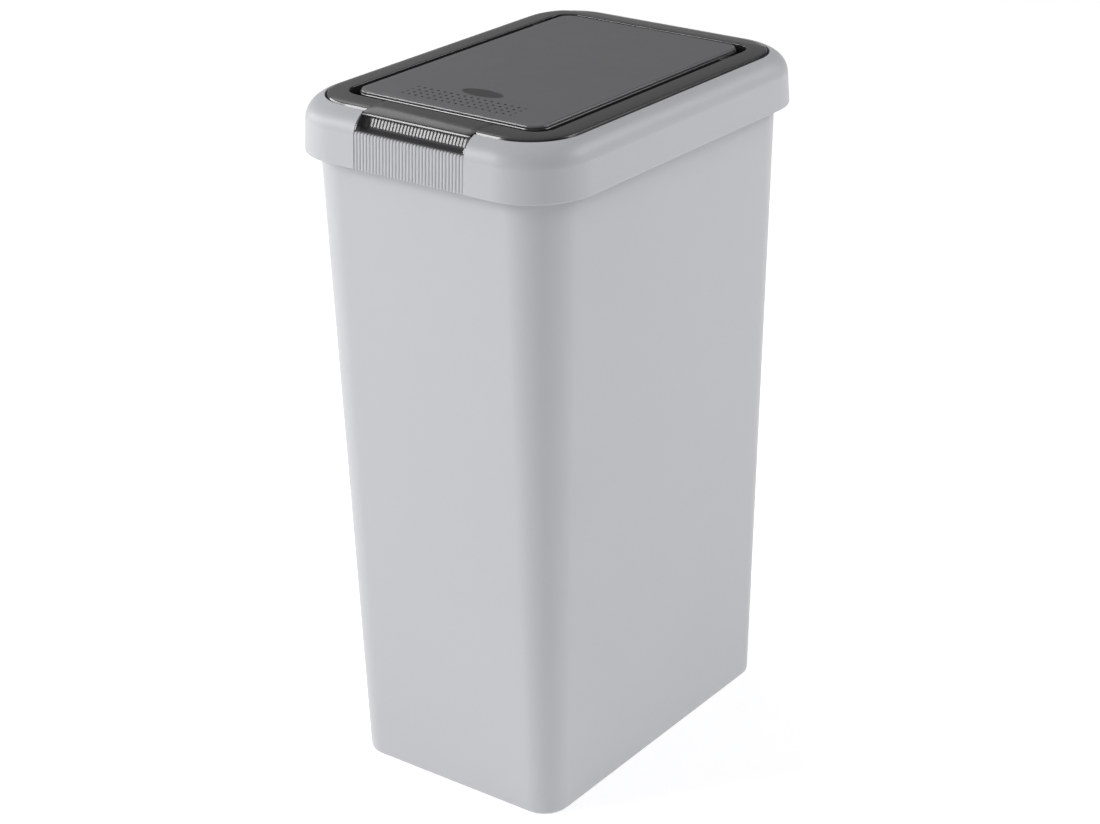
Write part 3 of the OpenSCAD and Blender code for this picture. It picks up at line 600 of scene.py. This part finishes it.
# --- Flap cover ---------------------------------------------------------------
# Dark grey plate with a fine matt grain, pressed into the tray below it. Four rows of
# dimples at its front, and a shallow oval behind them, show where to push.
flap_a, flap_b, flap_r, flap_top, flap_under = 97.75, 149.75, 13.5, 641.2, 638.3
core_a, core_b = flap_a - flap_r, flap_b - flap_r
columns, column_pitch, rows, row_pitch, first_row_y = 17, 7.15, 4, 7, -134.75
dimple_r, dimple_depth = 1.5, 1.9
oval_y, oval_a, oval_b, oval_depth = -98.25, 21.5, 9.5, 0.35
from_middle = np.arange(columns) - (columns - 1) // 2
dimple_x = from_middle * column_pitch
dimple_y = first_row_y + row_pitch * np.arange(rows)
strength = np.clip((8.6 - np.abs(from_middle)) / 1.4, 0.35, 1)

# The plate's core, finer where the marks are. At d from a dimple's middle it sinks by
# min(2.2 (1 - d^2 / r^2), 1) times depth and strength, which is less at the ends of a row.
# In the oval, where e goes from 0 in its middle to 1 at its edge, by (1 - e) / 0.06, up to 1.
fine_x, fine_y, oval_back = 59.2, -111.9, -86
grid_x = np.unique(np.r_[np.linspace(-core_a, -fine_x, 8), np.linspace(-fine_x, fine_x, 265),
                         np.linspace(fine_x, core_a, 8)])
grid_y = np.unique(np.r_[np.linspace(-core_b, fine_y, 56), np.linspace(fine_y, oval_back, 34),
                         np.linspace(oval_back, core_b, 22)])
gx, gy = np.meshgrid(grid_x, grid_y)
near_x, near_y = gx[..., None] - dimple_x, gy[..., None] - dimple_y
bowl = np.clip(1 - (near_x[..., :, None] ** 2 + near_y[..., None, :] ** 2) / dimple_r ** 2, 0, 1)
dimples = (np.minimum(2.2 * bowl, 1) * strength[:, None]).max((2, 3))
pad = np.clip((1 - np.hypot(gx / oval_a, (gy - oval_y) / oval_b)) / 0.06, 0, 1)
core = skin(np.stack([gx, gy, flap_top - (dimple_depth * dimples + oval_depth * pad)], 2), False, False)

# Its rim: a profile (inwards, height, rounding) carried round the core's own edge points. A
# stretch is a row of places along one side, a corner bend the quarter circle between two.
stretch = lambda kx, ky, nx, ny: np.stack(np.broadcast_arrays(kx, ky, nx, ny), 1)[:-1]
quarter = lambda start: np.radians(start + np.linspace(0, 90, 13))
corner_bend = lambda sx, sy, start: stretch(sx, sy, np.cos(quarter(start)), np.sin(quarter(start)))
front_kx, side_ky = grid_x / core_a, grid_y / core_b
rim_places = np.concatenate([
    stretch(front_kx, -1, 0, -1), corner_bend(1, -1, -90), stretch(1, side_ky, 1, 0), corner_bend(1, 1, 0),
    stretch(front_kx[::-1], 1, 0, 1), corner_bend(-1, 1, 90), stretch(-1, side_ky[::-1], -1, 0),
    corner_bend(-1, -1, 180)])
rim_line = eased([(flap_r, flap_top, 0), (8, flap_top, 0), (1.7, flap_top, 0.4), (0.55, 640.7, 0.4),
                  (0, 639.6, 0.3), (0, 638.85, 0.15), (3.2, 638.85, 0), (3.2, 635.4, 0.3),
                  (5.0, 635.4, 0.3), (5.0, flap_under, 0), (13.4, flap_under, 0)], closed=False)
rim_p, rim_h = rim_line.T
kx, ky, nx, ny = rim_places.T[:, None]
rim_r = np.maximum(flap_r - rim_p, 0)[:, None]
rim_x, rim_y = kx * core_a + nx * rim_r, ky * core_b + ny * rim_r
rim_grid = np.stack(np.broadcast_arrays(rim_x, rim_y, rim_h[:, None]), 2)
rim_verts, rim_faces = skin(rim_grid, False, True)
under = np.arange(len(rim_places)) + (len(rim_line) - 1) * len(rim_places)
rim_faces.append(np.stack([under, np.roll(under, -1), np.full(len(under), len(rim_verts))], 1))
rim_verts = np.concatenate([rim_verts, [[0, 0, flap_under]]])

# The plate's dimples are painted near black as painted shade in the holes, the oval is painted darker, and
# the plate's edge is smoother
flap_plastic = plastic("flap_plastic", (0.13, 0.13, 0.134), rough=0.50, grain_depth=0.00006,
                       grain_scale=1100, wear=0.15, wipe=0.6, mottle=0.02)
tree = flap_plastic.node_tree
shader = tree.nodes["Principled BSDF"]
below = node(tree, "ShaderNodeMix", data_type="RGBA")
below.inputs["B"].default_value = (0.006, 0.006, 0.0065, 1)
mask = node(tree, "ShaderNodeAttribute", attribute_name="dimple_shade_and_oval_darkening")
tree.links.new(shader.inputs["Base Color"].links[0].from_socket, below.inputs["A"])
tree.links.new(mask.outputs["Fac"], below.inputs["Factor"])
tree.links.new(below.outputs["Result"], shader.inputs["Base Color"])
rim_mask = node(tree, "ShaderNodeAttribute", attribute_name="polished_rim")
smoother = maths(tree, "MULTIPLY", rim_mask.outputs["Fac"], -0.27)
grained = shader.inputs["Roughness"].links[0].from_socket
tree.links.new(maths(tree, "ADD", grained, smoother), shader.inputs["Roughness"])
flap_cover = piece("flap_cover_plate", [core, (rim_verts, rim_faces)], "flap", flap_plastic,
                   ["flap_cover"])

# Where the dimples' painted shade and the darker oval lie, point by point, and where the smoother rim runs
at = np.empty(len(flap_cover.data.vertices) * 3)
flap_cover.data.vertices.foreach_get("co", at)
vx, vy, vz = at.reshape(-1, 3).T * 1000
hole = np.hypot((vx[:, None] - dimple_x)[:, :, None], (vy[:, None] - dimple_y)[:, None, :])
# Painted shade in each dimple, fading at its edge and weaker at the ends of a row
painted_dimple_shade = (np.clip((dimple_r + 0.1 - hole) / 0.35, 0, 1) * strength[:, None]).max((1, 2))
oval_mask = np.clip((1 - np.hypot(vx / oval_a, (vy - oval_y) / oval_b)) / 0.04, 0, 1)
dimple_shade_and_oval_darkening = flap_cover.data.attributes.new("dimple_shade_and_oval_darkening", "FLOAT", "POINT")
dimple_shade_and_oval_darkening.data.foreach_set("value", np.maximum(painted_dimple_shade, 0.72 * oval_mask).astype(np.float32))
edge_of = np.maximum(np.abs(vx) - flap_a, np.abs(vy) - flap_b)
corner_of = np.hypot((np.abs(vx) - core_a).clip(0), (np.abs(vy) - core_b).clip(0)) - flap_r
rim_of = (np.maximum(np.minimum(edge_of, 0), corner_of) > -2.2) & (vz > 638.9)
polished = flap_cover.data.attributes.new("polished_rim", "FLOAT", "POINT")
polished.data.foreach_set("value", rim_of.astype(np.float32))


# --- Flap tray ----------------------------------------------------------------
# Anthracite pan under the cover. Its edge stands out past the cover as a second line,
# and an ear on each side turns on a steel pin in the frame.
tray_a, tray_b, tray_r = 98.85, 150.85, 14.6
tray_foot, tray_floor, tray_wall, tray_middle = 628.2, 630.4, 2.2, 60
ear_in, ear_out, ear_front, ear_back = 97.5, 105.6, 11, 7
tray_line = eased([(tray_middle, tray_foot, 0), (0, tray_foot, 2.4), (0, 637.6, 0.3), (0.5, 638.6, 0.3),
                   (tray_wall, 638.75, 0.4), (tray_wall, tray_floor, 1.2),
                   (tray_middle, tray_floor, 0)], closed=False)
tray_p, tray_z = tray_line.T
tray_grid = carried(tray_a - tray_p, tray_b - tray_p, tray_r - tray_p, tray_z, places(turns=14))
tray_parts = [skin(tray_grid, False, True, cap_rows=True)]
for sx in (-1, 1):
    x0, x1 = sorted((sx * ear_in, sx * ear_out))
    tray_parts.append(slab(x0, x1, flap_y - ear_front, flap_y + ear_back, 628.3, 636.4, ease=1.2))
piece("flap_tray_pan", tray_parts, "flap", dark_plastic, ["flap_tray"])


# --- Pins and springs ---------------------------------------------------------
# Bright drawn steel: two axles with heads for the flap, two coil springs wound on them that
# bring it back, and two rods through the lid's hinge. The wire keeps faint drawing lines.
steel = bpy.data.materials.new("drawn_steel")
steel.use_nodes = True
tree = steel.node_tree
shader = tree.nodes["Principled BSDF"]
shader.inputs["Metallic"].default_value = 1.0
coords = tree.nodes.new("ShaderNodeTexCoord")
squeeze = node(tree, "ShaderNodeMapping")
squeeze.inputs["Scale"].default_value = (30.0, 900.0, 900.0)
lines = node(tree, "ShaderNodeTexNoise", Scale=1.0, Detail=3.0, Roughness=0.6)
tree.links.new(coords.outputs["Object"], squeeze.inputs["Vector"])
tree.links.new(squeeze.outputs["Vector"], lines.inputs["Vector"])
bright = node(tree, "ShaderNodeMix", data_type="RGBA")
bright.inputs["A"].default_value = (0.50, 0.50, 0.51, 1)
bright.inputs["B"].default_value = (0.66, 0.66, 0.67, 1)
tree.links.new(lines.outputs["Fac"], bright.inputs["Factor"])
tree.links.new(bright.outputs["Result"], shader.inputs["Base Color"])
streaks = maths(tree, "MULTIPLY", lines.outputs["Fac"], 0.18)
tree.links.new(maths(tree, "ADD", streaks, 0.2), shader.inputs["Roughness"])
scratch = node(tree, "ShaderNodeBump", Strength=0.4)
scratch.inputs["Distance"].default_value = 0.00002
tree.links.new(lines.outputs["Fac"], scratch.inputs["Height"])
tree.links.new(scratch.outputs["Normal"], shader.inputs["Normal"])
for name in ("flap_pin_left", "flap_pin_right", "lid_hinge_pin_left", "lid_hinge_pin_right"):
    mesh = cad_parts[name].data
    mesh.materials.clear()
    mesh.materials.append(steel)

# A spring is the wire's circle, carried round the axle by an angle while it goes out along x by
# the pitch for each turn
wire_r, coil_r, coil_pitch, coil_turns, coil_x = 0.5, 2.9, 1.35, 4, 111.3
for side, name in ((-1, "left"), (1, "right")):
    angle = np.linspace(0, 2 * np.pi * coil_turns, 40 * coil_turns + 1)[:, None]
    wire = np.linspace(0, 2 * np.pi, 10, endpoint=False)[None]
    reach = coil_r + wire_r * np.cos(wire)
    coil = np.stack([side * (coil_x + coil_pitch * angle / (2 * np.pi) + wire_r * np.sin(wire)),
                     flap_y + reach * np.cos(angle), flap_z + reach * np.sin(angle)], 2)
    piece("flap_spring_coil_" + name, [skin(coil, False, True, cap_rows=True)], "lid", steel,
          ["flap_spring_" + name])


# --- Floor and light ----------------------------------------------------------
# A plain pale floor that glows a little, a strong softbox at the front left with a long low one
# beside it, softer ones at the right and behind, and an even pale room. All in metres.
floor_half, floor_white, floor_glow = 9, 0.93, 0.43
floor_mesh = bpy.data.meshes.new("floor")
floor_mesh.from_pydata([(-floor_half, -floor_half, 0), (floor_half, -floor_half, 0),
                        (floor_half, floor_half, 0), (-floor_half, floor_half, 0)], [], [(0, 1, 2, 3)])
floor = bpy.data.objects.new("floor", floor_mesh)
bpy.context.collection.objects.link(floor)
floor_paint = bpy.data.materials.new("pale_floor")
floor_paint.use_nodes = True
shader = floor_paint.node_tree.nodes["Principled BSDF"]
shader.inputs["Base Color"].default_value = (floor_white, floor_white, floor_white, 1)
shader.inputs["Roughness"].default_value = 0.9
shader.inputs["Emission Color"].default_value = (1, 1, 1, 1)
shader.inputs["Emission Strength"].default_value = floor_glow
floor_mesh.materials.append(floor_paint)
floor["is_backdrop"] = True


def softbox(name, azimuth, elevation, size, radiance, aim=(0, 0, 0.4), roll=0.0, distance=3.2):
    """Area light at a distance from its aim, at an azimuth (0 front, 90 right) and elevation.

    Its power is radiance times pi times its area. It faces its aim, rolled about that line.
    """
    data = bpy.data.lights.new(name, "AREA")
    data.shape, data.size, data.size_y = "RECTANGLE", size[0], size[1]
    data.energy = radiance * np.pi * size[0] * size[1]
    lamp = bpy.data.objects.new(name, data)
    a, e, r = np.radians([azimuth, elevation, roll])
    outwards = np.array([np.sin(a) * np.cos(e), -np.cos(a) * np.cos(e), np.sin(e)])
    level = np.array([np.cos(a), np.sin(a), 0.0])
    upright = np.cross(outwards, level)
    stand = np.eye(4)
    stand[:3, 0] = np.cos(r) * level + np.sin(r) * upright
    stand[:3, 1] = np.cos(r) * upright - np.sin(r) * level
    stand[:3, 2] = outwards
    stand[:3, 3] = np.array(aim) + distance * outwards
    lamp.matrix_world = Matrix(stand.tolist())
    bpy.context.collection.objects.link(lamp)


lid_front = (0, -0.15, 0.6)
softbox("key", -42, 26, (0.65, 1.15), 16.6, aim=lid_front)
softbox("left", -72, 12.5, (2.9, 0.45), 7.0, aim=lid_front, roll=20)
softbox("rear_left", -126, 33, (1.0, 0.9), 1.2, aim=lid_front)
softbox("side", 130, 35, (2.0, 1.6), 4.2)
softbox("rear", -145, 3, (3.6, 0.4), 0.6)

# The room: soft light from a few sides, each falling off as max(0, cos angle) ^ tightness
world = bpy.data.worlds.new("room")
bpy.context.scene.world = world
world.use_nodes = True
tree = world.node_tree
towards = tree.nodes.new("ShaderNodeTexCoord").outputs["Generated"]
room_light = 0.0
for azimuth, elevation, tightness, brightness in (
        (-100, 8, 6, 0.25), (-40, 8, 6, 0.25), (25, 20, 6, 0.3), (-145, 8, 6, 0.25), (0, 88, 3, 0.68)):
    a, e = np.radians([azimuth, elevation])
    facing = node(tree, "ShaderNodeVectorMath", operation="DOT_PRODUCT")
    tree.links.new(towards, facing.inputs[0])
    facing.inputs[1].default_value = (np.sin(a) * np.cos(e), -np.cos(a) * np.cos(e), np.sin(e))
    lobe = maths(tree, "POWER", maths(tree, "MAXIMUM", facing.outputs["Value"], 0.0), tightness)
    room_light = maths(tree, "ADD", maths(tree, "MULTIPLY", lobe, brightness), room_light)
tree.links.new(room_light, tree.nodes["Background"].inputs["Strength"])
tree.nodes["Background"].inputs["Color"].default_value = (0.985, 0.992, 1.0, 1)

({"cad": [list(map(float, corner)) for corner in cad_box],
           "visual": [list(map(float, corner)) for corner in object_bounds()]})
